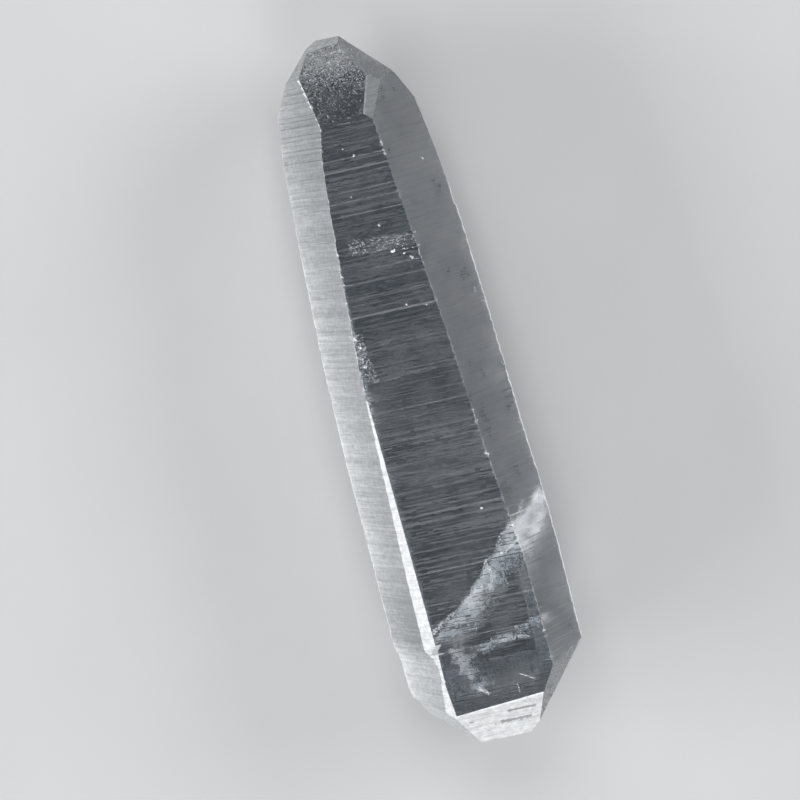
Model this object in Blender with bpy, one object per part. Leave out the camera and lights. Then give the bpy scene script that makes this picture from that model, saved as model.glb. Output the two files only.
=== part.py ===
"""A natural quartz crystal of the lemurian kind, grown as one piece.

It lies on its flat back face, with its growth axis along Y and its tip towards +Y.
Azimuths are measured round the growth axis, from +Z (up) towards +X.
Lengths in the tables are millimetres from the growth axis or along it.
"""

import math
import random

import bpy
import bmesh
from mathutils import Matrix, Vector

MM = 0.001

# Prism
LOFT_FOOT = -56.0
LOFT_TIP = 58.0
REST_REACH = 9.3
# Each prism face: azimuth, reach from the axis at a few places along it, seed of its ledges
PRISM_FACES = {
    "left": (-60, ((-50, 9.8), (-36, 10.5), (-34, 11.2), (-24, 11.4), (6, 11.7), (22, 11.1), (34, 10.4),
                   (52, 7.6)), 11),
    "window": (0, ((-50, 9.9), (52, 8.9)), 22),
    "right": (60, ((-50, 13.2), (-24, 12.0), (-8, 10.2), (8, 8.8), (34, 6.1), (52, 4.0)), 33),
    "right_back": (120, ((-50, 10.3), (-16, 10.2), (22, 8.8), (34, 7.5), (52, 5.6)), 44),
    "rest": (180, ((-50, REST_REACH), (52, REST_REACH)), None),
    "left_back": (-120, ((-50, 10.5), (-38, 10.9), (-24, 11.4), (-8, 12.2), (52, 12.4)), 66),
}

# Growth ledges that run straight across each prism face
LEDGE_PITCH = 0.2
LEDGE_MIN_STEPS = 2
LEDGE_MAX_STEPS = 6
LEDGE_RISER = 0.06
# How far a tread may stand off the face's own reach, and the least step from one tread to the next
LEDGE_DEPTH = 0.06
LEDGE_LEAST_STEP = 0.03

# Faces that close the ends: azimuth, lean of the normal from the axis in degrees, reach
TIP_FACES = {
    "tip_front": (-2.5, 50.3, 32.0),
    "tip_front_left": (-62, 50.0, 35.9),
    "tip_front_right": (47, 43.5, 35.1),
    "tip_back_right": (119, 55.0, 28.0),
    "tip_back_left": (-118.5, 51.0, 35.5),
    "tip_back": (170, 52.0, 31.4),
    "tip_corner": (30, 59.5, 26.75),
    "tip_shoulder": (118.5, 80.3, 12.9),
    "tip_worn_point": (-8, 30.0, 43.1),
}
FOOT_FACES = {
    "foot_end": (180, 20.0, 42.95),
    "foot_front": (2, 64.0, 27.8),
    "foot_front_left": (-66, 54.0, 33.25),
    "foot_front_right": (65, 62.0, 29.2),
    "foot_back_right": (104, 46.0, 34.95),
    "foot_back_left": (-95, 72.0, 24.1),
    "foot_back": (180, 52.0, 31.5),
}

# The worn strip along the edge of the window and left faces, in three lengths.
# Each: azimuth, lean from the foot end of the axis, reach, its upper end, its lower end
EDGE_STRIPS = {
    "long_strip": (-33, 89.0, 12.10, 12.0, -33.4),
    "short_strip": (-26, 90.0, 11.46, -34.6, -39.5),
    "foot_corner": (-50, 85.0, 14.33, -38.8, -52.0),
}
STRIP_END_AZIMUTH = 57
STRIP_END_LEAN = 50
STRIP_EDGE_X = -6.2
STRIP_EDGE_Z = 9.7

CUTTER_SIZE = 160.0


def direction(azimuth, lean, end):
    """Unit normal of a face that leans from one end of the axis: end is +1 for the tip, -1 for the foot."""
    turn = math.radians(azimuth)
    tilt = math.radians(lean)
    across = math.sin(tilt)
    return Vector((across * math.sin(turn), end * math.cos(tilt), across * math.cos(turn)))


def reach_at(profile, y):
    """Reach of a prism face at a place along the axis, on straight runs between its points."""
    for (y0, r0), (y1, r1) in zip(profile, profile[1:]):
        if y <= y1:
            break
    return r0 + (r1 - r0) * (y - y0) / (y1 - y0)


def ledge_profile(name):
    """Reach of a prism face along the axis, as flat treads of random length with short risers between."""
    profile, seed = PRISM_FACES[name][1:]
    if seed is None:
        return [(LOFT_FOOT, REST_REACH), (LOFT_TIP, REST_REACH)]
    rng = random.Random(seed)
    # Neighbouring faces have odd and even seeds, so their risers never meet at the edge between them
    shift = LEDGE_PITCH / 2 if seed % 2 else 0.0
    points = []
    low = LOFT_FOOT
    last = 0.0
    while low < LOFT_TIP:
        high = round(low / LEDGE_PITCH) * LEDGE_PITCH + shift
        high += LEDGE_PITCH * rng.randint(LEDGE_MIN_STEPS, LEDGE_MAX_STEPS)
        high = min(high, LOFT_TIP)
        reach = last
        while abs(reach - last) < LEDGE_LEAST_STEP:
            reach = reach_at(profile, (low + high) / 2) + rng.uniform(-LEDGE_DEPTH, LEDGE_DEPTH)
        start = low if not points else low + LEDGE_RISER / 2
        end = high if high == LOFT_TIP else high - LEDGE_RISER / 2
        points += [(start, reach), (end, reach)]
        low = high
        last = reach
    return points


def ledged_prism():
    """Six-sided loft through one ring at every kink of every face's ledge profile."""
    names = list(PRISM_FACES)
    turns = [math.radians(PRISM_FACES[name][0]) for name in names]
    profiles = [ledge_profile(name) for name in names]
    stations = sorted({round(y, 4) for profile in profiles for y, reach in profile})

    bm = bmesh.new()
    rings = []
    for y in stations:
        reaches = [reach_at(profile, y) for profile in profiles]
        ring = []
        for k in range(6):
            nxt = (k + 1) % 6
            a, b = turns[k], turns[nxt]
            spread = math.sin(b - a)
            x = (reaches[k] * math.cos(b) - reaches[nxt] * math.cos(a)) / -spread
            z = (reaches[k] * math.sin(b) - reaches[nxt] * math.sin(a)) / spread
            ring.append(bm.verts.new((x * MM, y * MM, z * MM)))
        rings.append(ring)
    for lower, upper in zip(rings, rings[1:]):
        for k in range(6):
            bm.faces.new((lower[k - 1], lower[k], upper[k], upper[k - 1]))
    bm.faces.new(rings[0])
    bm.faces.new(rings[-1])
    bmesh.ops.recalc_face_normals(bm, faces=bm.faces)
    bmesh.ops.dissolve_limit(bm, angle_limit=math.radians(0.05), verts=bm.verts, edges=bm.edges)
    return bm


def block_inside(planes):
    """Large cube with everything outside the given planes cut away; a plane is a normal and a reach."""
    bm = bmesh.new()
    bmesh.ops.create_cube(bm, size=CUTTER_SIZE * MM)
    for normal, reach in planes:
        geometry = bm.verts[:] + bm.edges[:] + bm.faces[:]
        cut = bmesh.ops.bisect_plane(
            bm, geom=geometry, dist=1e-7, plane_co=normal * reach * MM, plane_no=normal, clear_outer=True)
        rim = [item for item in cut["geom_cut"] if isinstance(item, bmesh.types.BMEdge)]
        bmesh.ops.contextual_create(bm, geom=rim)
    bmesh.ops.recalc_face_normals(bm, faces=bm.faces)
    return bm


def new_object(name, bm, collection):
    mesh = bpy.data.meshes.new(name)
    bm.to_mesh(mesh)
    bm.free()
    obj = bpy.data.objects.new(name, mesh)
    collection.objects.link(obj)
    return obj


def new_cutter(name, planes, collection):
    cutter = new_object(name, block_inside(planes), collection)
    cutter.hide_render = True
    cutter.display_type = "WIRE"
    return cutter


def carve(target, cutter, operation):
    modifier = target.modifiers.new(cutter.name, "BOOLEAN")
    modifier.object = cutter
    modifier.operation = operation
    modifier.solver = "EXACT"


def growth_limits(collection):
    """Block bounded by the end faces, which the prism is kept inside."""
    planes = [(direction(azimuth, lean, 1), reach) for azimuth, lean, reach in TIP_FACES.values()]
    planes += [(direction(azimuth, lean, -1), reach) for azimuth, lean, reach in FOOT_FACES.values()]
    return new_cutter("growth_limits", planes, collection)


def edge_cutter(name, collection):
    """Block outside one length of the worn edge strip; its lower end slants down towards the left face."""
    azimuth, lean, reach, upper, lower = EDGE_STRIPS[name]
    outward = direction(azimuth, lean, -1)
    end = direction(STRIP_END_AZIMUTH, STRIP_END_LEAN, -1)
    end_corner = Vector((STRIP_EDGE_X, lower, STRIP_EDGE_Z))
    planes = [(-outward, -reach), (Vector((0, 1, 0)), upper), (end, end.dot(end_corner))]
    return new_cutter(name, planes, collection)


def quartz_material():
    material = bpy.data.materials.new("clear quartz")
    material.use_nodes = True
    shader = material.node_tree.nodes["Principled BSDF"]
    shader.inputs["Base Color"].default_value = (0.86, 0.88, 0.90, 1.0)
    shader.inputs["Roughness"].default_value = 0.12
    shader.inputs["Metallic"].default_value = 0.0
    shader.inputs["Transmission Weight"].default_value = 0.9
    shader.inputs["IOR"].default_value = 1.544
    return material


def evaluated_mesh(obj):
    depsgraph = bpy.context.evaluated_depsgraph_get()
    return bpy.data.meshes.new_from_object(obj.evaluated_get(depsgraph), depsgraph=depsgraph)


def lay_on_rest_face(mesh):
    """Put the middle of the length and width over the origin and the rest face on the ground."""
    xs = [vertex.co.x for vertex in mesh.vertices]
    ys = [vertex.co.y for vertex in mesh.vertices]
    middle = Vector(((min(xs) + max(xs)) / 2, (min(ys) + max(ys)) / 2, -REST_REACH * MM))
    mesh.transform(Matrix.Translation(-middle))


def build():
    for obj in list(bpy.data.objects):
        bpy.data.objects.remove(obj)
    model = bpy.data.collections.new("lemurian_quartz_crystal")
    cutters = bpy.data.collections.new("cutters")
    bpy.context.scene.collection.children.link(model)
    bpy.context.scene.collection.children.link(cutters)

    crystal = new_object("crystal", ledged_prism(), model)
    carve(crystal, growth_limits(cutters), "INTERSECT")
    for name in EDGE_STRIPS:
        carve(crystal, edge_cutter(name, cutters), "DIFFERENCE")
    finished = evaluated_mesh(crystal)
    finished.name = "crystal"
    crystal.modifiers.clear()
    crystal.data = finished
    lay_on_rest_face(finished)
    finished.materials.clear()
    finished.materials.append(quartz_material())


build()
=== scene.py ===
import math
import random

import bmesh
import bpy
import numpy as np
from bpy.props import FloatProperty, FloatVectorProperty, IntProperty, PointerProperty
from mathutils import Matrix, Vector
from mathutils.geometry import delaunay_2d_cdt


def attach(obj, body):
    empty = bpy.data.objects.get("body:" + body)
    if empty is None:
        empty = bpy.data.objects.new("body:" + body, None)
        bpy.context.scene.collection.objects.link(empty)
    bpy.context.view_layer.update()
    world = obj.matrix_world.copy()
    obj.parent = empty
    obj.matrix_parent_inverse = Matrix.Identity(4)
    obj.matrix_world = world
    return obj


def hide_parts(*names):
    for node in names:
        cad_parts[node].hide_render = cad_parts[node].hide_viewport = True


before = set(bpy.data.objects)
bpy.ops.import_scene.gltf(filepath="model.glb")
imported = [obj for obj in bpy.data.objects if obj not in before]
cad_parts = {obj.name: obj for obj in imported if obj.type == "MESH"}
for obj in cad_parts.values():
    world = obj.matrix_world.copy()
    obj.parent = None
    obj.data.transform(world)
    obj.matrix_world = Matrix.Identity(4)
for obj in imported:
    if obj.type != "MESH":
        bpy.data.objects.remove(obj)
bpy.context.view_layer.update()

bl_info = {
    "name": "Lemurian quartz crystal",
    "version": (1, 0, 0),
    "blender": (4, 5, 0),
    "location": "View3D > Sidebar > Quartz",
    "description": "Builds the looks of a growth-lined quartz crystal around its solid, and its studio stage",
    "category": "Object",
}

MM = 0.001
BODY = "root"

# The growth axis in the frame of the solid: it runs along Y, through this X and Z, and starts at this Y
AXIS_X = 0.332
AXIS_Y = -0.905
AXIS_Z = 9.3
LOFT_FOOT = -56.0
LOFT_TIP = 58.0

# Prism faces, going round from the left face over the window: azimuth, reach along the axis, ledge seed
PRISM_FACES = {
    "left": (-60, ((-50, 9.8), (-36, 10.5), (-34, 11.2), (-24, 11.4), (6, 11.7), (22, 11.1), (34, 10.4),
                   (52, 7.6)), 11),
    "window": (0, ((-50, 9.9), (52, 8.9)), 22),
    "right": (60, ((-50, 13.2), (-24, 12.0), (-8, 10.2), (8, 8.8), (34, 6.1), (52, 4.0)), 33),
    "right_back": (120, ((-50, 10.3), (-16, 10.2), (22, 8.8), (34, 7.5), (52, 5.6)), 44),
    "rest": (180, ((-50, AXIS_Z), (52, AXIS_Z)), None),
    "left_back": (-120, ((-50, 10.5), (-38, 10.9), (-24, 11.4), (-8, 12.2), (52, 12.4)), 66),
}

# Strips of mesh across each side face, and how strong its fine growth lines are
SIDE_COLUMNS = {"left": 22, "window": 18, "right": 7, "right_back": 4, "rest": 2, "left_back": 5}
SIDE_LINES = {"left": 0.35, "window": 0.8, "right": 0.10, "right_back": 0.15, "rest": 0.3, "left_back": 0.25}
# How deep each side face's ledges are, as a share of the solid's
SIDE_LEDGES = {"left": 0.5, "window": 0.3, "right": 0.10, "right_back": 0.3, "rest": 0.0, "left_back": 0.6}
# How frosted each side face is along the axis, from clear at 0 to matt at 1
SIDE_FROST = {
    "left": ((-50, 0.95), (-36, 0.95), (-32, 0.75), (22, 0.80), (27, 0.65), (52, 0.6)),
    "window": ((-50, 0.06), (-37, 0.06), (-30, 0.10), (-17, 0.12), (-10, 0.26), (2, 0.22), (9, 0.06), (52, 0.0)),
    "right": ((-50, 0.70), (-15, 0.66), (10, 0.70), (52, 0.74)),
    "right_back": ((-50, 0.60), (52, 0.60)),
    "rest": ((-50, 0.35), (52, 0.35)),
    "left_back": ((-50, 0.60), (52, 0.55)),
}
# Painted shade: how much of the dark clear colour each side face takes on where it isn't frosted, fully on the window
SIDE_PAINTED_SHADE = {"left": 0.6, "window": 1.0, "right": 0.9, "right_back": 0.35, "rest": 0.5, "left_back": 0.35}
# Share of each side face that is white growth lines, along the axis
SIDE_WHITE = {
    "left": ((-50, 1.15), (52, 1.15)),
    "window": ((-50, 0.18), (-36, 0.20), (-30, 0.30), (0, 0.33), (30, 0.30), (52, 0.24)),
    "right": ((-50, 0.0), (52, 0.0)),
    "right_back": ((-50, 0.12), (52, 0.12)),
    "rest": ((-50, 0.06), (52, 0.06)),
    "left_back": ((-50, 0.12), (52, 0.12)),
}
# How light the white growth lines of each side face are, along the axis: the frost's whiteness with painted light and
# shade on it, lightest on the left face and painted darkest on the window
SIDE_WHITENESS_AND_PAINTED_LIGHT = {
    "left": ((-52, 0.42), (-36, 0.38), (-33, 0.25), (-27, 0.25), (-23, 0.34), (-8, 0.35), (0, 0.34), (15, 0.31),
             (30, 0.27), (52, 0.25)),
    "window": ((-52, 0.05), (-34, 0.06), (-28, 0.08), (-8, 0.07), (4, 0.045), (52, 0.04)),
    "right": ((-52, 0.24), (52, 0.22)),
    "right_back": ((-52, 0.20), (52, 0.20)),
    "rest": ((-52, 0.20), (52, 0.20)),
    "left_back": ((-52, 0.30), (52, 0.30)),
}
# Painted light across the left face: how its level changes from its outer edge at 0, painted lighter towards the
# silhouette, to its inner edge at 1
LEFT_PAINTED_LIGHT_ACROSS = ((0.0, 1.55), (0.10, 1.30), (0.45, 0.98), (0.85, 0.80), (1.0, 0.86))
# How much that brightness changes from line to line
SIDE_SWING = {"left": 0.22, "window": 0.50, "right": 0.15, "right_back": 0.5, "rest": 0.5, "left_back": 0.3}
# Wear on the ridge that follows each side face: width on this face and on the next one, and white share, which is wear
# with a painted highlight, white all along the silhouette ridges
RIDGE_WEAR_AND_HIGHLIGHT = {
    "left": (1.0, 1.0, 0.40), "window": (0.7, 0.7, 0.28), "right": (3.2, 0.5, 0.95),
    "right_back": (1.0, 1.0, 0.40), "rest": (1.0, 1.0, 0.40), "left_back": (0.5, 3.0, 0.95),
}
# A nick in the ridge that follows a side face: its ends along the axis, and how much wider the wear is there
RIDGE_NICKS = {"right": (24.3, 25.9, 0.30)}
# Where one length of the worn strip gives way to the next, the edge of the window is white between these places
STRIP_GAP = (-34.8, -33.4)
# The wear of the ridges thins out towards the tip
RIDGE_THINNING = ((-52, 1.0), (24, 1.0), (27, 0.4), (52, 0.3))
# Stronger pale growth lines across the window: place along the axis, half width, depth share, white share
WINDOW_LINES = (
    (32.4, 0.10, 0.8, 0.80), (27.2, 0.06, 0.4, 0.30), (12.7, 0.06, 0.6, 0.70),
    (-15.3, 0.10, 0.8, 0.40), (-16.5, 0.10, 0.9, 0.50), (-18.3, 0.10, 0.5, 0.30),
)
# White flecks on the window: place across and along, radius
WINDOW_FLECKS = (
    (-2.3, 34.2, 0.16), (-3.6, 35.3, 0.10), (-4.0, 28.7, 0.10), (-1.1, 24.3, 0.20), (0.0, 20.5, 0.26),
    (1.4, 19.9, 0.16), (2.2, 19.2, 0.30), (0.2, 13.0, 0.12), (2.9, 12.5, 0.12), (4.1, -16.2, 0.14),
    (-7.6, 9.9, 0.18), (-7.3, 8.6, 0.20), (-7.4, 7.1, 0.16), (-7.1, 6.0, 0.22), (-7.2, 4.9, 0.18),
    (5.45, -22.7, 0.20), (7.6, -19.4, 0.14), (4.9, -21.6, 0.12), (3.4, -24.6, 0.12),
)
# Where the healed crack and small scratches reach a face: the face, places across and along, half width, density
CRACK_STROKES = (
    ("window", ((8.0, -18.8), (6.0, -20.2), (5.0, -21.4), (5.5, -22.9), (3.3, -23.0), (1.5, -26.7), (0.2, -27.6),
                (-2.2, -29.3), (-4.3, -30.3), (-6.2, -31.7)), 0.30, 0.75),
    ("window", ((8.3, -21.2), (7.0, -22.0), (5.6, -22.9)), 0.18, 1.0),
    ("window", ((3.1, -24.0), (3.6, -25.6), (2.6, -27.4)), 0.35, 0.45),
    ("window", ((-5.8, 22.2), (-2.0, 21.8), (1.6, 21.4), (3.8, 21.6)), 1.10, 0.10),
    ("window", ((-7.5, 10.5), (-7.3, 8.0), (-6.6, 3.5)), 0.90, 0.16),
    ("right", ((6.1, 31.7), (6.2, 31.3)), 0.14, 0.8),
    ("right", ((3.5, 29.3), (3.6, 29.0)), 0.14, 0.8),
    ("right", ((9.1, 12.9), (9.3, 12.1)), 0.30, 0.35),
    ("window", ((2.8, -34.5), (4.6, -34.4), (6.7, -34.8)), 0.30, 0.40),
    ("window", ((4.0, -39.4), (6.1, -40.6)), 0.10, 1.0),
    ("window", ((3.6, -40.9), (3.7, -42.0), (4.6, -43.1)), 0.08, 0.9),
    ("window", ((-1.8, -40.3), (-0.4, -41.5)), 0.25, 0.7),
    ("right", ((8.2, -19.5), (8.9, -17.9), (9.6, -16.8)), 0.30, 0.30),
    ("right", ((12.0, -16.7), (11.7, -18.2), (10.8, -19.4), (10.1, -20.7)), 0.45, 0.4),
    ("right", ((8.6, -19.8), (10.2, -18.3), (11.8, -17.2)), 0.20, 0.5),
)
# The middle of a fleck's grains stands this much over the plain window, which its ledges reach too
FLECK_LIFT = 0.04
FACE_NAMES = list(PRISM_FACES)
LEDGE_PITCH = 0.2
LEDGE_MIN_STEPS = 2
LEDGE_MAX_STEPS = 6
LEDGE_DEPTH = 0.06
LEDGE_LEAST_STEP = 0.03

# Faces that close the ends: azimuth, lean of the normal from the axis, reach, frost, pits, white share, and the level
# of their white, which is frost whiteness with painted light and shade
TIP_FACES = {
    "tip_front": (-2.5, 50.3, 32.0, 0.15, 1.0, 0.20, 0.46),
    "tip_front_left": (-62, 50.0, 35.9, 0.75, 0.3, 1.00, 0.30),
    "tip_front_right": (47, 43.5, 35.1, 0.85, 0.3, 0.30, 0.24),
    "tip_back_right": (119, 55.0, 28.0, 0.60, 0.3, 0.30, 0.30),
    "tip_back_left": (-118.5, 51.0, 35.5, 0.60, 0.3, 0.40, 0.35),
    "tip_back": (170, 52.0, 31.4, 0.60, 0.3, 0.30, 0.30),
    "tip_corner": (30, 59.5, 26.75, 0.60, 0.1, 1.20, 0.19),
    "tip_shoulder": (118.5, 80.3, 12.9, 0.60, 0.2, 0.20, 0.25),
    "tip_worn_point": (-8, 30.0, 43.1, 0.90, 0.5, 0.98, 0.40),
}
FOOT_FACES = {
    "foot_end": (180, 20.0, 42.95, 0.90, 1.0, 0.70, 0.60),
    "foot_front": (2, 64.0, 27.8, 0.85, 0.5, 0.99, 0.66),
    "foot_front_left": (-66, 54.0, 33.25, 0.90, 0.4, 0.85, 0.42),
    "foot_front_right": (65, 62.0, 29.2, 0.50, 0.3, 0.35, 0.35),
    "foot_back_right": (104, 46.0, 34.95, 0.60, 0.5, 0.35, 0.35),
    "foot_back_left": (-95, 72.0, 24.1, 0.85, 0.3, 0.60, 0.45),
    "foot_back": (180, 52.0, 31.5, 0.80, 0.5, 0.55, 0.45),
}

# Edges of the end faces that are worn to narrow bevels painted white as highlights, and how light; the other edges are
# sharp
WORN_AND_HIGHLIT_EDGES = {
    ("left", "tip_front"): 0.85, ("tip_front", "tip_corner"): 0.30, ("window", "foot_front"): 0.85,
    ("foot_front", "foot_front_right"): 0.85, ("foot_front", "foot_end"): 0.60,
}
# The speckled growth of the tip's front face, white grains for its frosted pits with painted glints among them, is
# thin low down and dense towards the point
SPECKLE_RISE = ((39.0, 0.3), (42.0, 0.7), (43.0, 1.6), (44.5, 2.8), (47.0, 4.2))
# Grey streaks on the foot's front face: from and to across it, place along the axis, half width
FOOT_STREAKS = ((1.4, 5.4, -44.4, 0.16), (0.1, 4.5, -45.85, 0.20), (-4.0, -3.5, -45.0, 0.12))

# The worn strip on the edge between the left face and the window:
# azimuth, lean from the foot, reach, upper end, lower end on the window side and on the left side
EDGE_STRIPS = (
    (-33, 89.0, 12.15, 12.0, -33.4, -34.6),
    (-26, 90.0, 11.46, -34.6, -39.5, -39.5),
    (-50, 85.0, 14.33, -38.8, -52.0, -52.0),
)


# The end faces cut the prism only past these places along the axis
TIP_START = 20.0
FOOT_START = -28.0
# How light the worn ridges and the worn strip are, as wear painted lighter with a highlight, the white share that is
# white all over, the numbers of the first ridge and the first end face in the mesh's data, and the faces across a
# ridge
RIDGE_WHITENESS_AND_HIGHLIGHT = 0.75
STRIP_WHITENESS_AND_HIGHLIGHT = 0.62
ALL_WHITE = 9.0
RIDGE_PART = 10
END_PART = 20
RIDGE_FACES = 3

# Painted glow of the healed crack's flakes: they give off light as emission, in place of the light they pass on
# between them
VEIL_PAINTED_GLOW = 0.26
# Wisps of the healed crack in the frame of the solid: points along the crisp edge, the way it fades, and density
VEIL_WISPS = (
    (((12.0, -16.9, 9.5), (10.2, -18.8, 12.5), (7.5, -20.1, 15.9), (5.4, -22.9, 17.0), (4.3, -24.6, 17.2),
      (1.0, -27.4, 17.3), (-1.8, -30.4, 17.3), (-4.4, -32.7, 17.2), (-6.4, -33.9, 16.4)), (3.6, -2.4, -6.0), 1.0),
    (((11.9, -19.0, 9.0), (11.0, -20.6, 11.5), (9.2, -22.2, 14.0), (6.2, -24.0, 16.6)), (1.4, -1.4, -2.0), 0.9),
    (((-1.5, -36.2, 16.5), (2.0, -35.4, 16.8), (5.6, -34.6, 16.6), (8.4, -33.6, 15.6)), (0.6, -1.6, -2.4), 0.55),
    (((-4.6, -35.6, 16.4), (-3.6, -38.0, 16.6), (-2.6, -40.6, 16.2), (-1.6, -42.6, 15.4)), (2.6, 0.4, -4.0), 0.45),
)
# How far the grains of the flecks and of the strokes lie off their face
FLECK_SPREAD = 0.03
STROKE_SPREAD = 0.02

# Refraction index of quartz, and how much of its faces' light passes through
QUARTZ_INDEX = 1.544
QUARTZ_CLARITY = 0.95

# The camera looks down on the window: azimuth and lift of its direction, roll, distance and where it aims
VIEW_AZIMUTH = 5.0
VIEW_LIFT = 6.4
VIEW_ROLL = 12.8
VIEW_DISTANCE = 450.0
PHOTO_SIZE = 800
PHOTO_PIXELS_PER_MM = 7.24
AXIS_PIXEL_X = 430
AXIS_PIXEL_Y = 390
SENSOR_MM = 36.0

# The even light's colour, and the softboxes: name, place, size and power in metres and watts. The left one is low
# so that it shines back from the worn strip, and the foot one is low for the foot's front
SKY_COLOUR = (0.90, 0.93, 0.96, 1.0)
SOFTBOX_AIM = (0, 0, 0.01)
SOFTBOXES = (
    ("left_softbox", (-0.56, -0.08, 0.20), (0.6, 0.24), 4.4),
    ("foot_softbox", (-0.02, -0.46, 0.295), (0.30, 0.16), 1.4),
    ("tip_softbox", (0.03, 0.34, 0.44), (0.40, 0.30), 1.5),
    ("right_softbox", (0.48, 0.10, 0.22), (0.40, 0.20), 2.2),
)
FLOOR_HALF_SIZE = 3.0


def length(name, description, millimetres):
    return FloatProperty(name=name, description=description, default=millimetres * MM, unit="LENGTH")


def colour(name, description, *shade):
    return FloatVectorProperty(name=name, description=description, default=shade, subtype="COLOR", size=3)


class QuartzSizes(bpy.types.PropertyGroup):
    ring_gap: length("Ring gap", "Distance between two rings of the crystal's mesh along its axis", 0.1)
    row_height: length("Row height", "Height of the finest white growth line", 0.1)
    line_pitch: length("Line pitch", "Spacing of the fine growth lines", 0.24)
    line_depth: length("Line depth", "Depth of the deepest fine growth line", 0.030)
    line_fade: length("Line fade", "Length over which the fine lines come and go", 2.5)
    ridge_wear: length("Ridge wear", "Width of the wear along the edges of the side faces", 0.10)
    end_grid: length("End grid", "Mesh spacing on the faces of the tip and the foot", 0.20)
    pit_size: length("Pit size", "Size of the growth pits on the tip and the foot", 0.45)
    pit_depth: length("Pit depth", "Depth of the growth pits on the tip and the foot", 0.035)
    end_wear: length("End wear", "Depth of the wear along the edges of the tip and the foot", 0.03)
    seed: IntProperty(name="Seed", description="Seed of the lines and pits", default=7)


class InclusionSizes(bpy.types.PropertyGroup):
    flake_size: length("Flake size", "Width of a flake of the healed crack", 0.30)
    flakes_per_mm2: FloatProperty(
        name="Flakes", description="Flakes for each square millimetre where the veil is densest", default=380.0)
    spread: length("Spread", "How far a flake lies off the crack", 0.30)
    grain_size: length("Grain size", "Width of a grain of a white fleck", 0.34)
    stroke_grain: length("Stroke grain", "Width of a grain where the crack meets a face", 0.20)
    stroke_grains_per_mm2: FloatProperty(
        name="Stroke grains", description="Grains for each square millimetre where the crack meets a face",
        default=300.0)
    grains_per_mm2: FloatProperty(
        name="Grains", description="Grains for each square millimetre of a white fleck", default=60.0)
    seed: IntProperty(name="Seed", description="Seed of the flakes and grains", default=5)


class QuartzColours(bpy.types.PropertyGroup):
    # Painted shade: the clear faces' colour is a dark blue-grey that darkens what is seen through the window
    clear: colour("Clear", "Colour of the clear faces", 0.32, 0.37, 0.41)
    matt: colour("Matt", "Colour of the matt faces", 0.99, 0.99, 1.0)
    depth: colour("Depth", "Colour that the crystal takes on with depth", 0.65, 0.68, 0.71)
    frost: colour("Frost", "Colour of the white lines, specks and wear", 0.88, 0.895, 0.91)
    # Painted shade: the dark end of the frost colour, which the frost takes where its level of painted light is low,
    # as on the window's lines
    frost_painted_shade: colour("Frost shade", "Darker tone in the white lines, specks and wear", 0.033, 0.040, 0.048)
    flake: colour("Flake", "Colour of the healed crack and the flecks", 0.95, 0.96, 0.98)
    stroke: colour("Stroke", "Colour of the crack where it meets a face", 0.64, 0.67, 0.71)


class StageSizes(bpy.types.PropertyGroup):
    floor: colour("Floor", "Colour of the floor", 0.50, 0.505, 0.515)
    sky: FloatProperty(name="Sky", description="Strength of the even light all round", default=0.16)


def direction(azimuth, lean, end):
    """Unit normal of a face that leans from one end of the axis: end is +1 for the tip, -1 for the foot."""
    turn = math.radians(azimuth)
    tilt = math.radians(lean)
    across = math.sin(tilt)
    return Vector((across * math.sin(turn), end * math.cos(tilt), across * math.cos(turn)))


def ledge_treads(name, stations):
    """Reach of a side face at each station: flat treads of random length, the same as the solid's."""
    profile, seed = PRISM_FACES[name][1:]
    places, reaches = zip(*profile)
    if seed is None:
        return np.full(len(stations), reaches[0])
    rng = random.Random(seed)
    shift = LEDGE_PITCH / 2 if seed % 2 else 0.0
    found = np.zeros(len(stations))
    low = LOFT_FOOT
    last = 0.0
    while low < LOFT_TIP:
        high = round(low / LEDGE_PITCH) * LEDGE_PITCH + shift
        high += LEDGE_PITCH * rng.randint(LEDGE_MIN_STEPS, LEDGE_MAX_STEPS)
        high = min(high, LOFT_TIP)
        middle = (low + high) / 2
        own = reach_at(profile, middle)
        reach = last
        while abs(reach - last) < LEDGE_LEAST_STEP:
            reach = own + rng.uniform(-LEDGE_DEPTH, LEDGE_DEPTH)
        found[(stations >= low) & (stations < high)] = own + (reach - own) * SIDE_LEDGES[name]
        low = high
        last = reach
    return found


def reach_at(profile, y):
    """Reach at a place along the axis, on straight runs that go on past the outer points."""
    for (y0, r0), (y1, r1) in zip(profile, profile[1:]):
        if y <= y1:
            break
    return r0 + (r1 - r0) * (y - y0) / (y1 - y0)


def smooth_noise(count, gap, seed):
    """Random values from 0 to 1 along a row, smooth over about gap entries."""
    rng = np.random.default_rng(seed)
    knots = rng.random(int(count / gap) + 4)
    return np.interp(np.arange(count) / gap, np.arange(len(knots)), knots)


def strip_insets(corner, plain_corner, y, along_left, along_window):
    """How far the worn strip cuts back from the corner on the left face and on the window.

    It is worked out on the faces without their ledges, so that the strip's edges run straight.
    """
    insets = [0.0, 0.0]
    shift = corner - plain_corner
    for azimuth, lean, reach, upper, lower_window, lower_left in EDGE_STRIPS:
        turn = math.radians(azimuth)
        tilt = math.radians(lean)
        normal = np.array((math.sin(turn), math.cos(turn)))
        level = (reach + math.cos(tilt) * y) / math.sin(tilt)
        over = normal @ plain_corner - level
        if over <= 0:
            continue
        if lower_left <= y <= upper:
            insets[0] = over / (normal @ along_left) + shift @ along_left
        if lower_left <= y <= upper:
            taper = min(1.0, (y - lower_left) / max(lower_window - lower_left, 0.01))
            insets[1] = (over / -(normal @ along_window) - shift @ along_window) * taper
    return insets


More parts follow.
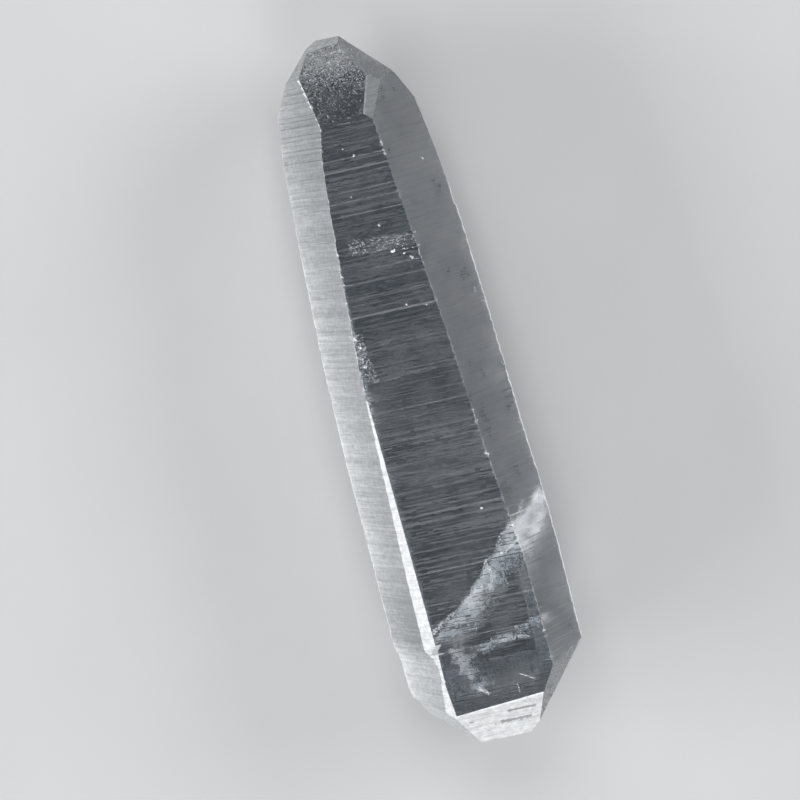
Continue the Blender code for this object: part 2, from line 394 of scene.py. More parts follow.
def ridge_widths(stations, wear):
    """Width of the wear either side of each ridge at each ring: a thin varying line with short wider nicks."""
    count = len(stations)
    thinning = np.array([along_axis(RIDGE_THINNING, y) for y in stations])
    before = []
    after = []
    for k, (name, (width_before, width_after, white)) in enumerate(RIDGE_WEAR_AND_HIGHLIGHT.items()):
        low, high, extra = RIDGE_NICKS.get(name, (0.0, 0.0, 0.0))
        nick = extra * ((stations > low) & (stations < high))
        thin = (0.4 + 0.8 * smooth_noise(count, 5, 30 + k)) * thinning
        nicks = smooth_noise(count, 3, 60 + k) ** 6 * smooth_noise(count, 40, 90 + k) * 5
        before.append(wear * (width_before * thin + nicks) + nick)
        after.append(wear * (width_after * thin + nicks) + nick)
    return np.stack(before, -1), np.stack(after, -1)


def line_tones(count, k):
    """How light each ring's growth line is on one side face, from -1 to 1: fine lines in broader bands."""
    fine = smooth_noise(count, 2.3, 120 + k)
    broad = smooth_noise(count, 14, 150 + k)
    return 1.3 * fine + 0.7 * broad - 1.0


def window_line_at(y):
    """Depth share and white share of the window's stronger growth lines at a place along the axis."""
    depth = white = 0.0
    for place, half, line_depth, line_white in WINDOW_LINES:
        if abs(y - place) < half:
            depth = max(depth, line_depth * (1.0 - (abs(y - place) / half) ** 2))
            white = max(white, line_white)
    return depth, white


def quartz_body(sizes):
    """The whole crystal as one closed bmesh, with the point and face data that the relief and finish read."""
    gap = sizes.ring_gap / MM
    stations = np.arange(-52.0, 53.0, gap) + gap / 2
    turns = np.radians([PRISM_FACES[name][0] for name in FACE_NAMES])
    normals = np.stack([np.sin(turns), np.cos(turns)], -1)
    along = np.stack([np.cos(turns), -np.sin(turns)], -1)
    reaches = np.stack([ledge_treads(name, stations) for name in FACE_NAMES], -1)
    widths_before, widths_after = ridge_widths(stations, sizes.ridge_wear / MM)
    plain = np.stack([
        [reach_at(PRISM_FACES[name][1], y) for y in stations] for name in FACE_NAMES[:2]], -1)
    tones = [line_tones(len(stations), k) for k in range(6)]
    columns = [SIDE_COLUMNS[name] for name in FACE_NAMES]
    part_of = [part for k in range(6) for part in [k] * columns[k] + [RIDGE_PART + k] * RIDGE_FACES]
    # Each face's share of the painted shade of the clear colour
    painted_shade_share_of = [SIDE_PAINTED_SHADE[name] for name in FACE_NAMES for _ in range(SIDE_COLUMNS[name] + RIDGE_FACES)]
    ring_size = len(part_of)

    bm = bmesh.new()
    layers = {name: bm.verts.layers.float.new(name) for name in ("across", "lines", "strong", "turn", "pits")}
    outward = bm.verts.layers.float_vector.new("outward")
    face_layers = {name: bm.faces.layers.float.new(name) for name in ("frost", "white", "whiteness_and_painted_light", "grid", "painted_shade_share")}
    part = bm.faces.layers.int.new("part")

    def add_point(place, y, u, lines, k, side_normal, strong):
        vert = bm.verts.new((place[0] * MM, y * MM, place[1] * MM))
        for name, value in (("across", u), ("lines", lines), ("turn", k), ("strong", strong)):
            vert[layers[name]] = value
        vert[outward] = (side_normal[0], 0.0, side_normal[1])
        return vert

    rings = []
    finishes = []
    for j, y in enumerate(stations):
        corners = [
            np.linalg.solve(normals[[k, (k + 1) % 6]], reaches[j, [k, (k + 1) % 6]]) for k in range(6)]
        before = list(widths_before[j])
        after = list(widths_after[j])
        plain_corner = np.linalg.solve(normals[:2], plain[j])
        cut = strip_insets(corners[0], plain_corner, y, along[0], along[1])
        before[0] = max(before[0], cut[0])
        after[0] = max(after[0], cut[1])
        line_depth, line_white = window_line_at(y)
        ring = []
        finish = []
        for k, name in enumerate(FACE_NAMES):
            start = corners[k - 1] + along[k] * after[k - 1]
            end = corners[k] - along[k] * before[k]
            strong = line_depth if name == "window" else 0.0
            strength = SIDE_LINES[name]
            for u in np.linspace(0.0, 1.0, columns[k] + 1):
                ring.append(add_point(start + (end - start) * u, y, u, strength, k, normals[k], strong))
            far = corners[k] + along[(k + 1) % 6] * after[k]
            worn = normals[k] + normals[(k + 1) % 6]
            worn /= np.linalg.norm(worn)
            in_gap = STRIP_GAP[0] < y < STRIP_GAP[1]
            on_strip = k == 0 and (max(cut) > 0.2 or in_gap)
            for u in (1 / 3, 2 / 3):
                spot = end + (far - end) * u
                ring.append(add_point(spot, y, u, 0.1 if on_strip else 0.6, k + 0.5, worn, 0.0))
            frost = along_axis(SIDE_FROST[name], y)
            white = along_axis(SIDE_WHITE[name], y)
            # Level of the growth lines' whiteness and painted light: painted lit on the left face, painted dark on the
            # window
            whiteness_and_painted_light = along_axis(SIDE_WHITENESS_AND_PAINTED_LIGHT[name], y) * (1.0 + SIDE_SWING[name] * tones[k][j])
            if name == "window" and line_white:
                white += line_white
                whiteness_and_painted_light = max(whiteness_and_painted_light, 0.17 * line_white)
            for i in range(columns[k]):
                # Painted light: the left face's lines are painted lighter towards its outer edge
                shade = along_axis(LEFT_PAINTED_LIGHT_ACROSS, (i + 0.5) / columns[k]) if name == "left" else 1.0
                in_strip_gap = in_gap and name == "window" and i == 0
                finish.append((1.0, ALL_WHITE, 0.5) if in_strip_gap else (frost, white, whiteness_and_painted_light * shade))
            # Ridge faces are worn white with a painted highlight; on the worn strip they take the strip's painted
            # highlight
            finish += [
                (1.0, ALL_WHITE, STRIP_WHITENESS_AND_HIGHLIGHT) if on_strip else (1.0, RIDGE_WEAR_AND_HIGHLIGHT[name][2], RIDGE_WHITENESS_AND_HIGHLIGHT)] * RIDGE_FACES
        rings.append(ring)
        finishes.append(finish)
    for lower, upper, finish in zip(rings, rings[1:], finishes):
        for i in range(ring_size):
            nxt = (i + 1) % ring_size
            quad = bm.faces.new((lower[i], lower[nxt], upper[nxt], upper[i]))
            for name, value in zip(("frost", "white", "whiteness_and_painted_light"), finish[i]):
                quad[face_layers[name]] = value
            quad[face_layers["painted_shade_share"]] = painted_shade_share_of[i]
            quad[part] = part_of[i]
    bm.faces.new(rings[0])
    bm.faces.new(rings[-1])
    bmesh.ops.recalc_face_normals(bm, faces=bm.faces)

    ends = close_ends(bm, part, face_layers, sizes)
    rng = random.Random(sizes.seed)
    for face in bm.faces:
        if face[part] >= END_PART:
            normal, pits = ends[face[part] - END_PART]
            for vert in face.verts:
                inside = all(other[part] == face[part] for other in vert.link_faces)
                vert[layers["lines"]] = vert[layers["strong"]] = 0.0
                vert[layers["pits"]] = pits if inside else 0.0
                vert[outward] = normal
            finish_end_face(face, face[part] - END_PART, face_layers, rng)
    bmesh.ops.holes_fill(bm, edges=[edge for edge in bm.edges if edge.is_boundary])
    bmesh.ops.recalc_face_normals(bm, faces=bm.faces)
    return bm


def finish_end_face(face, number, face_layers, rng):
    """Gathers the speckle of the tip's front towards the point and paints a few of its grains much lighter as glints,
    and lays the streaks on the foot's front.
    """
    names = list(TIP_FACES) + list(FOOT_FACES)
    place = face.calc_center_median() / MM
    if number == names.index("tip_front"):
        face[face_layers["white"]] *= along_axis(SPECKLE_RISE, place.y)
        # Painted glints: a few grains of the tip's speckle are made much lighter
        face[face_layers["whiteness_and_painted_light"]] *= 0.42 + 1.1 * rng.random() ** 7
    for start, end, along, half in FOOT_STREAKS:
        if place.y < FOOT_START and start < place.x < end and abs(place.y - along) < half:
            face[face_layers["whiteness_and_painted_light"]] *= 0.4


def along_axis(table, y):
    places, values = zip(*table)
    return float(np.interp(y, places, values))


def close_ends(bm, part, face_layers, sizes):
    """Cuts the prism by the faces of the tip and the foot, wears some of their edges into narrow bevels painted white
    as highlights, and gives them mesh for the pits.
    """
    ends = []
    side_normals = [direction(face[0], 90.0, 1) for face in PRISM_FACES.values()]
    names = dict(enumerate(FACE_NAMES))
    for end, inner, table in ((1, TIP_START, TIP_FACES), (-1, FOOT_START, FOOT_FACES)):
        verts = [vert for vert in bm.verts if vert.co.y * end > inner * end * MM]
        region = set(verts)
        edges = [edge for edge in bm.edges if region.issuperset(edge.verts)]
        faces = [face for face in bm.faces if region.issuperset(face.verts)]
        region = verts + edges + faces

        def cut_face(normal, reach, frost, pits, white, whiteness_and_painted_light):
            nonlocal region
            cut = bmesh.ops.bisect_plane(
                bm, geom=region, dist=1e-8, plane_co=normal * reach, plane_no=normal, clear_outer=True)
            rim = [item for item in cut["geom_cut"] if isinstance(item, bmesh.types.BMEdge)]
            filled = bmesh.ops.contextual_create(bm, geom=rim)["faces"]
            for face in filled:
                face[part] = END_PART + len(ends)
                face[face_layers["frost"]] = frost
                face[face_layers["white"]] = white
                face[face_layers["whiteness_and_painted_light"]] = whiteness_and_painted_light
                face[face_layers["grid"]] = 1.0
                # End faces take the painted shade of the clear colour fully where clear and by half where frosted
                face[face_layers["painted_shade_share"]] = 1.0 if frost < 0.5 else 0.5
            region = cut["geom"] + filled
            ends.append((normal, pits))

        first = len(ends)
        for name, (azimuth, lean, reach, *finish) in table.items():
            names[END_PART + len(ends)] = name
            cut_face(direction(azimuth, lean, end), reach * MM, *finish)
        last = len(ends)
        shared = {}
        for edge in region:
            if isinstance(edge, bmesh.types.BMEdge) and edge.is_valid:
                pair = tuple(sorted({face[part] for face in edge.link_faces}))
                if len(pair) == 2 and pair[1] >= END_PART and not RIDGE_PART <= pair[0] < END_PART:
                    shared.setdefault(pair, []).extend(vert.co.copy() for vert in edge.verts)
        for pair, places in shared.items():
            pair_normals = [ends[p - END_PART][0] if p >= END_PART else side_normals[p] for p in pair]
            # The worn edges' white is a painted highlight on a narrow bevel
            whiteness_and_painted_light = WORN_AND_HIGHLIT_EDGES.get((names[pair[0]], names[pair[1]]))
            if not whiteness_and_painted_light:
                continue
            far = max(places, key=lambda place: (place - places[0]).length)
            way = (max(places, key=lambda place: (place - far).length) - far).normalized()
            normal = pair_normals[0] + pair_normals[1]
            normal = (normal - way * normal.dot(way)).normalized()
            reach = sum(normal.dot(place) for place in places) / len(places) - sizes.end_wear
            cut_face(normal, reach, 1.0, 0.0, ALL_WHITE, whiteness_and_painted_light)
        for number in range(first, last):
            if ends[number][1] > 0.0:
                grid_face(bm, part, END_PART + number, ends[number][0], sizes.end_grid)
    return ends


def grid_face(bm, part, number, normal, gap):
    """Fills one flat end face with a triangle grid on its own outline, so that its pits have mesh to stand in."""
    first = normal.cross(Vector((0.3, 0.2, 1.0))).normalized()
    second = normal.cross(first)
    for face in [face for face in bm.faces if face[part] == number]:
        rim = list(face.verts)
        origin = rim[0].co.copy()
        outline = [Vector(((v.co - origin).dot(first), (v.co - origin).dot(second))) / MM for v in rim]
        low = [min(point[axis] for point in outline) for axis in (0, 1)]
        high = [max(point[axis] for point in outline) for axis in (0, 1)]
        step = gap / MM
        rows = np.arange(low[1], high[1], step * 0.866)
        inner = []
        for row, height in enumerate(rows):
            places = np.arange(low[0] + 0.5 * step * (row % 2), high[0], step)
            for place in places[inside_outline(places, height, np.array(outline), 0.5 * step)]:
                inner.append(Vector((place, height)))
        if not inner:
            continue
        count = len(rim)
        border = [(i, (i + 1) % count) for i in range(count)]
        spots, edges, triangles, origins, *rest = delaunay_2d_cdt(outline + inner, border, [], 1, 1e-6)
        verts = []
        for spot, sources in zip(spots, origins):
            on_rim = [source for source in sources if source < count]
            if on_rim:
                verts.append(rim[on_rim[0]])
            else:
                verts.append(bm.verts.new(origin + (first * spot.x + second * spot.y) * MM))
        for corners in triangles:
            bm.faces.new([verts[i] for i in corners], face)
        bm.faces.remove(face)


def inside_outline(places, height, outline, margin):
    """Which spots of a row lie inside an outline by more than the margin."""
    spots = np.stack([places, np.full(len(places), height)], -1)[:, None, :]
    here = outline[None]
    way = np.roll(outline, -1, 0)[None] - here
    crosses = (here[..., 1] > height) != (here[..., 1] + way[..., 1] > height)
    rise = np.where(way[..., 1] == 0.0, 1.0, way[..., 1])
    meets = here[..., 0] + way[..., 0] * (height - here[..., 1]) / rise
    inside = (crosses & (spots[..., 0] < meets)).sum(-1) % 2 == 1
    share = ((spots - here) * way).sum(-1) / np.maximum((way ** 2).sum(-1), 1e-12)
    gaps = np.linalg.norm(spots - here - way * np.clip(share, 0.0, 1.0)[..., None], axis=-1)
    return inside & (gaps.min(-1) > margin)


class NodeBuilder:
    """Adds nodes to a tree and links values or sockets to their inputs."""

    def __init__(self, tree):
        self.tree = tree
        self.column = 0

    def add(self, kind, inputs=None, **settings):
        node = self.tree.nodes.new(kind)
        node.location = (self.column * 180, 0)
        self.column += 1
        for key, value in settings.items():
            setattr(node, key, value)
        for key, value in (inputs or {}).items():
            socket = node.inputs[key]
            if isinstance(value, bpy.types.NodeSocket):
                self.tree.links.new(value, socket)
            else:
                socket.default_value = value
        return node

    def math(self, operation, *values, clamp=False):
        node = self.add("ShaderNodeMath", dict(enumerate(values)), operation=operation, use_clamp=clamp)
        return node.outputs[0]

    def times(self, first, second):
        return self.math("MULTIPLY", first, second)

    def noise(self, place, scale, detail):
        return self.add("ShaderNodeTexNoise", {"Vector": place, "Scale": scale, "Detail": detail}).outputs[0]

    def dice(self, cell):
        """Random value from 0 to 1 for each cell."""
        return self.add("ShaderNodeTexWhiteNoise", {0: cell}, noise_dimensions="3D").outputs["Value"]

    def mix(self, factor, low, high):
        return self.add("ShaderNodeMix", {"Factor": factor, 2: low, 3: high}).outputs[0]

    def colour_mix(self, factor, low, high):
        """Colour from low at 0 to high at 1."""
        node = self.add(
            "ShaderNodeMix", {"Factor": factor, 6: (*low, 1.0), 7: (*high, 1.0)}, data_type="RGBA")
        return node.outputs[2]

    def painted(self, name):
        """Value that the mesh holds for a shader."""
        return self.add("ShaderNodeAttribute", attribute_name=name).outputs["Fac"]

    def bump(self, height, distance):
        return self.add("ShaderNodeBump", {"Height": height, "Strength": 0.5, "Distance": distance}).outputs[0]

    def vector(self, operation, *values):
        node = self.add("ShaderNodeVectorMath", dict(enumerate(values)), operation=operation)
        return node.outputs[0]

    def combine(self, x, y, z):
        return self.add("ShaderNodeCombineXYZ", {0: x, 1: y, 2: z}).outputs[0]

    def remap(self, value, low, high, to_low=0.0, to_high=1.0):
        node = self.add("ShaderNodeMapRange", {0: value, 1: low, 2: high, 3: to_low, 4: to_high})
        return node.outputs[0]


def new_group(name, kind, inputs, outputs):
    """Node group with named sockets; each input is (name, socket type, default)."""
    tree = bpy.data.node_groups.new(name, kind)
    for label, socket_type, default in inputs:
        socket = tree.interface.new_socket(name=label, in_out="INPUT", socket_type=socket_type)
        if default is not None:
            socket.default_value = default
    for label, socket_type in outputs:
        tree.interface.new_socket(name=label, in_out="OUTPUT", socket_type=socket_type)
    builder = NodeBuilder(tree)
    return tree, builder, builder.add("NodeGroupInput").outputs


def named_value(builder, name, kind="FLOAT"):
    return builder.add("GeometryNodeInputNamedAttribute", {"Name": name}, data_type=kind).outputs["Attribute"]


def growth_relief_tree():
    """Geometry tree that sinks the fine growth lines into the sides and the pits into the ends."""
    tree, b, given = new_group("growth_relief", "GeometryNodeTree", (
        ("Geometry", "NodeSocketGeometry", None),
        ("Line Pitch", "NodeSocketFloat", 0.3 * MM),
        ("Line Depth", "NodeSocketFloat", 0.02 * MM),
        ("Line Fade", "NodeSocketFloat", 2.5 * MM),
        ("Pit Size", "NodeSocketFloat", 0.9 * MM),
        ("Pit Depth", "NodeSocketFloat", 0.05 * MM),
        ("Row Height", "NodeSocketFloat", 0.1 * MM),
        ("Seed", "NodeSocketInt", 7),
        ("Clear", "NodeSocketMaterial", None),
        ("White", "NodeSocketMaterial", None),
    ), (("Geometry", "NodeSocketGeometry"),))
    place = b.add("GeometryNodeInputPosition").outputs[0]
    y = b.add("ShaderNodeSeparateXYZ", {0: place}).outputs[1]
    turn = named_value(b, "turn")
    across = named_value(b, "across")
    lines = named_value(b, "lines")
    pits = named_value(b, "pits")
    strong = named_value(b, "strong")
    outward = named_value(b, "outward", "FLOAT_VECTOR")

    steps = []
    for factor, offset in ((1.0, 17.3), (1.9, 5.7)):
        along = b.times(b.math("DIVIDE", y, given["Line Pitch"]), factor)
        count = b.math("FLOOR", along)
        cell = b.combine(count, b.times(turn, offset), given["Seed"])
        steps.append(b.dice(cell))
    fade_at = b.combine(
        b.times(across, 1.6), b.math("DIVIDE", y, given["Line Fade"]), b.times(turn, 9.1))
    fade = b.noise(fade_at, 1.0, 2.0)
    fade = b.remap(fade, 0.35, 0.62)
    level = b.math("ADD", b.times(steps[0], 0.65), b.times(steps[1], 0.35))
    level = b.times(b.math("POWER", level, 1.6), lines)
    level = b.math("MAXIMUM", b.times(level, fade), strong)
    line_depth = b.times(level, given["Line Depth"])

    pit_place = b.vector("DIVIDE", place, b.combine(given["Pit Size"], given["Pit Size"], given["Pit Size"]))
    cells = b.add("ShaderNodeTexVoronoi", {"Vector": pit_place, "Scale": 1.0}).outputs["Distance"]
    bumps = b.noise(pit_place, 0.6, 3.0)
    pit = b.times(b.remap(cells, 0.55, 0.0), b.remap(bumps, 0.4, 0.65))
    pit = b.times(b.times(pit, pits), given["Pit Depth"])

    sink = b.times(b.math("ADD", line_depth, pit), -1.0)
    offset = b.vector("MULTIPLY", outward, b.combine(sink, sink, sink))
    moved = b.add("GeometryNodeSetPosition", {"Geometry": given["Geometry"], "Offset": offset})

    row = b.math("FLOOR", b.math("DIVIDE", y, given["Row Height"]))
    row_cell = b.combine(row, b.times(turn, 3.3), given["Seed"])
    by_row = b.dice(row_cell)
    face_cell = b.combine(b.add("GeometryNodeInputIndex").outputs[0], 0.5, given["Seed"])
    by_face = b.dice(face_cell)
    singly = b.math("MAXIMUM", named_value(b, "grid"), 0.3)
    chance = b.mix(singly, by_row, by_face)
    cluster_at = b.vector("MULTIPLY", place, (500.0, 2600.0, 500.0))
    cluster = b.noise(cluster_at, 1.0, 2.0)
    cluster = b.remap(cluster, 0.38, 0.62, 0.6, 1.4)
    cluster = b.mix(named_value(b, "grid"), cluster, 1.0)
    zone_at = b.vector("MULTIPLY", place, (110.0, 330.0, 110.0))
    zone = b.noise(zone_at, 1.0, 2.0)
    zone = b.remap(zone, 0.35, 0.65, 0.6, 1.4)
    asked = named_value(b, "white")
    swing = b.times(asked, b.math("SUBTRACT", 1.15, asked))
    varied = b.times(b.math("SUBTRACT", b.times(cluster, zone), 1.0), swing)
    share = b.math("ADD", asked, varied)
    sure = b.math("GREATER_THAN", named_value(b, "white"), 2.0)
    is_white = b.math("MAXIMUM", b.math("LESS_THAN", chance, share), sure)

    real = b.add("GeometryNodeRealizeInstances", {0: moved.outputs[0]})
    clear = b.add("GeometryNodeSetMaterial", {"Geometry": real.outputs[0], "Material": given["Clear"]})
    white = b.add("GeometryNodeSetMaterial", {
        "Geometry": clear.outputs[0], "Selection": is_white, "Material": given["White"]})
    b.add("NodeGroupOutput", {0: white.outputs[0]})
    return tree


def scatter_tree(name):
    """Geometry tree that scatters small flat eight-sided grains over a carrier mesh, by its `dense` attribute."""
    tree, b, given = new_group(name, "GeometryNodeTree", (
        ("Geometry", "NodeSocketGeometry", None),
        ("Grain Size", "NodeSocketFloat", 0.15 * MM),
        ("Grains", "NodeSocketFloat", 1.0e7),
        ("Spread", "NodeSocketFloat", 0.3 * MM),
        ("Flatness", "NodeSocketFloat", 0.35),
        ("Tumble", "NodeSocketFloat", 1.0),
        ("Patchiness", "NodeSocketFloat", 1.0),
        ("Seed", "NodeSocketInt", 5),
        ("Material", "NodeSocketMaterial", None),
    ), (("Geometry", "NodeSocketGeometry"),))
    streaks_at = b.vector("MULTIPLY", b.add("GeometryNodeInputPosition").outputs[0], (900.0, 900.0, 250.0))
    streaks = b.noise(streaks_at, 1.0, 3.0)
    streaks = b.remap(streaks, 0.40, 0.62, 0.05, 1.5)
    patchy = b.mix(given["Patchiness"], 1.0, streaks)
    dense = b.times(named_value(b, "dense"), patchy)
    spots = b.add("GeometryNodeDistributePointsOnFaces", {
        "Mesh": given["Geometry"],
        "Density": b.times(given["Grains"], dense),
        "Seed": given["Seed"],
    }, distribute_method="RANDOM")
    reach = given["Spread"]
    jitter = b.add("FunctionNodeRandomValue", {
        0: (-1.0, -1.0, -1.0), 1: (1.0, 1.0, 1.0), "Seed": given["Seed"]}, data_type="FLOAT_VECTOR").outputs[0]
    offset = b.vector("MULTIPLY", jitter, b.combine(reach, reach, reach))
    moved = b.add("GeometryNodeSetPosition", {"Geometry": spots.outputs["Points"], "Offset": offset})
    grain = b.add("GeometryNodeMeshUVSphere", {"Segments": 4, "Rings": 2, "Radius": 0.5}).outputs[0]
    turn = b.add("FunctionNodeRandomValue", {
        0: (-3.1, -3.1, -3.1), 1: (3.1, 3.1, 3.1), "Seed": b.math("ADD", given["Seed"], 1.0)},
        data_type="FLOAT_VECTOR").outputs[0]
    tumble = b.vector("MULTIPLY", turn, b.combine(given["Tumble"], given["Tumble"], 1.0))
    turned = b.add("FunctionNodeRotateEuler", {
        "Rotation": spots.outputs["Rotation"], "Rotate By": tumble}, space="LOCAL").outputs[0]
    size = b.add("FunctionNodeRandomValue", {
        2: 0.35, 3: 1.0, "Seed": b.math("ADD", given["Seed"], 2.0)}, data_type="FLOAT").outputs[1]
    size = b.times(b.math("POWER", size, 2.0), given["Grain Size"])
    scale = b.combine(size, size, b.times(size, given["Flatness"]))
    placed = b.add("GeometryNodeInstanceOnPoints", {
        "Points": moved.outputs[0], "Instance": grain, "Rotation": turned, "Scale": scale})
    real = b.add("GeometryNodeRealizeInstances", {0: placed.outputs[0]})
    named = b.add("GeometryNodeSetMaterial", {"Geometry": real.outputs[0], "Material": given["Material"]})
    b.add("NodeGroupOutput", {0: named.outputs[0]})
    return tree


def apply_tree(carrier, tree, values):
    """Runs a geometry tree on the carrier with its inputs set, and keeps the result as its plain mesh."""
    modifier = carrier.modifiers.new(tree.name, "NODES")
    modifier.node_group = tree
    for item in tree.interface.items_tree:
        if item.item_type == "SOCKET" and item.in_out == "INPUT" and item.name in values:
            modifier[item.identifier] = values[item.name]
    depsgraph = bpy.context.evaluated_depsgraph_get()
    mesh = bpy.data.meshes.new_from_object(carrier.evaluated_get(depsgraph), depsgraph=depsgraph)
    carrier.modifiers.clear()
    old = carrier.data
    name = old.name
    carrier.data = mesh
    bpy.data.meshes.remove(old)
    mesh.name = name
    return carrier


def new_piece(name, bm):
    mesh = bpy.data.meshes.new(name)
    bm.to_mesh(mesh)
    bm.free()
    piece = bpy.data.objects.new(name, mesh)
    bpy.context.scene.collection.objects.link(piece)
    return piece


def to_solid_frame(piece):
    """Moves a piece's points from the growth axis to the frame of the solid."""
    piece.data.transform(Matrix.Translation(Vector((AXIS_X, AXIS_Y, AXIS_Z)) * MM))


def hand_over(piece):
    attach(piece, BODY)


def growth_surface_group():
    """Frost, roughness and height of a growth-lined surface: broken fine lines across the axis and mottling."""
    tree, b, given = new_group("growth_surface", "ShaderNodeTree", (
        ("Frost", "NodeSocketFloat", 0.5),
        ("Line Contrast", "NodeSocketFloat", 0.34),
        ("Clear Roughness", "NodeSocketFloat", 0.05),
        ("Frost Roughness", "NodeSocketFloat", 0.5),
        ("Lines per Metre", "NodeSocketFloat", 4500.0),
    ), (("Frost", "NodeSocketFloat"), ("Roughness", "NodeSocketFloat"), ("Height", "NodeSocketFloat")))
    place = b.add("ShaderNodeTexCoord").outputs["Object"]
    x, y, z = b.add("ShaderNodeSeparateXYZ", {0: place}).outputs
    along = b.times(y, given["Lines per Metre"])
    spot = b.combine(b.times(x, 250.0), along, b.times(z, 250.0))
    line = b.noise(spot, 1.0, 1.0)
    line = b.remap(line, 0.42, 0.68)
    zones_at = b.combine(b.times(x, 90.0), b.times(y, 420.0), b.times(z, 90.0))
    zones = b.noise(zones_at, 1.0, 3.0)
    line = b.times(line, b.remap(zones, 0.35, 0.62, 0.2, 1.0))
    patches = b.noise(place, 230.0, 4.0)
    frost = b.math("ADD", given["Frost"], b.remap(patches, 0.3, 0.7, -0.30, 0.30))
    frost = b.math("ADD", frost, b.times(line, given["Line Contrast"]), clamp=True)
    rough = b.remap(frost, 0.0, 1.0, given["Clear Roughness"], given["Frost Roughness"])
    b.add("NodeGroupOutput", {0: frost, 1: rough, 2: b.math("SUBTRACT", 1.0, line)})
    return tree


def quartz_material(colours):
    """Clear quartz: plain transmission, index and absorption, matt where the surface is frosted, and painted with the
    dark shade of the clear colour where it is clear.
    """
    material = bpy.data.materials.new("clear_quartz")
    material.use_nodes = True
    tree = material.node_tree
    tree.nodes.clear()
    b = NodeBuilder(tree)
    frost = b.painted("frost")
    surface = b.add("ShaderNodeGroup", node_tree=growth_surface_group())
    tree.links.new(frost, surface.inputs["Frost"])
    # Where the surface is clear it takes on the painted shade of the clear colour, by each face's share
    clear = b.math("SUBTRACT", 1.0, surface.outputs["Frost"])
    clear = b.times(clear, b.painted("painted_shade_share"))
    shader = b.add("ShaderNodeBsdfPrincipled", {
        "Base Color": b.colour_mix(clear, colours.matt, colours.clear),
        "Roughness": surface.outputs["Roughness"],
        "Normal": b.bump(surface.outputs["Height"], 0.03 * MM),
        "Metallic": 0.0,
        "IOR": QUARTZ_INDEX,
        "Transmission Weight": QUARTZ_CLARITY,
    })
    depth = b.add("ShaderNodeVolumeAbsorption", {"Color": (*colours.depth, 1.0), "Density": 45.0})
    output = b.add("ShaderNodeOutputMaterial")
    tree.links.new(shader.outputs[0], output.inputs["Surface"])
    tree.links.new(depth.outputs[0], output.inputs["Volume"])
    return material


def frosted_material(colours):
    """White frosted quartz of the growth lines, specks, worn ridges and the worn strip, mixed from a painted shade to
    white by each face's level of whiteness and painted light.
    """
    material = bpy.data.materials.new("frosted_quartz")
    material.use_nodes = True
    tree = material.node_tree
    b = NodeBuilder(tree)
    place = b.add("ShaderNodeTexCoord").outputs["Object"]
    tone = b.noise(place, 1400.0, 3.0)
    x, y, z = b.add("ShaderNodeSeparateXYZ", {0: place}).outputs
    along = b.combine(b.times(x, 300.0), b.times(y, 5500.0), b.times(z, 300.0))
    lines = b.noise(along, 1.0, 2.0)
    # Each face's level of whiteness and painted light mixes the painted shade and the white frost: lit and shaded
    # copies of one frosted material
    whiteness_and_painted_light = b.painted("whiteness_and_painted_light")
    level = b.times(whiteness_and_painted_light, b.remap(tone, 0.35, 0.65, 0.8, 1.05))
    level = b.times(level, b.remap(lines, 0.35, 0.65, 0.82, 1.10))
    shade = b.colour_mix(level, colours.frost_painted_shade, colours.frost)
    shader = tree.nodes["Principled BSDF"]
    tree.links.new(shade, shader.inputs["Base Color"])
    tree.links.new(b.bump(tone, 0.05 * MM), shader.inputs["Normal"])
    shader.inputs["Roughness"].default_value = 0.5
    shader.inputs["IOR"].default_value = QUARTZ_INDEX
    return material


def flake_material(name, shade, painted_glow):
    """Pale scattering surface of the healed crack and the flecks; the painted glow makes it give off its own colour as
    light, in place of the light passed on between its flakes.
    """
    material = bpy.data.materials.new(name)
    material.use_nodes = True
    b = NodeBuilder(material.node_tree)
    place = b.add("ShaderNodeTexCoord").outputs["Object"]
    tone = b.noise(place, 900.0, 2.0)
    shader = material.node_tree.nodes["Principled BSDF"]
    darker = tuple(0.75 * part for part in shade)
    shades = b.colour_mix(tone, darker, shade)
    for name in ("Base Color", "Emission Color"):
        material.node_tree.links.new(shades, shader.inputs[name])
    # Painted glow: the surface emits its own colour
    shader.inputs["Emission Strength"].default_value = painted_glow
    shader.inputs["Roughness"].default_value = 0.5
    shader.inputs["IOR"].default_value = 1.3
    return material


class QUARTZ_OT_crystal(bpy.types.Operator):
    """Makes the crystal with its growth lines, worn edges and pits"""

    bl_idname = "quartz.crystal"
    bl_label = "Crystal"

    def execute(self, context):
        sizes = context.scene.quartz_sizes
        piece = new_piece("quartz_crystal", quartz_body(sizes))
        apply_tree(piece, growth_relief_tree(), {
            "Line Pitch": sizes.line_pitch, "Line Depth": sizes.line_depth, "Line Fade": sizes.line_fade,
            "Pit Size": sizes.pit_size, "Pit Depth": sizes.pit_depth, "Row Height": sizes.row_height,
            "Seed": sizes.seed,
            "Clear": quartz_material(context.scene.quartz_colours),
            "White": frosted_material(context.scene.quartz_colours),
        })
        to_solid_frame(piece)
        hand_over(piece)
        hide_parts("crystal")
        return {"FINISHED"}


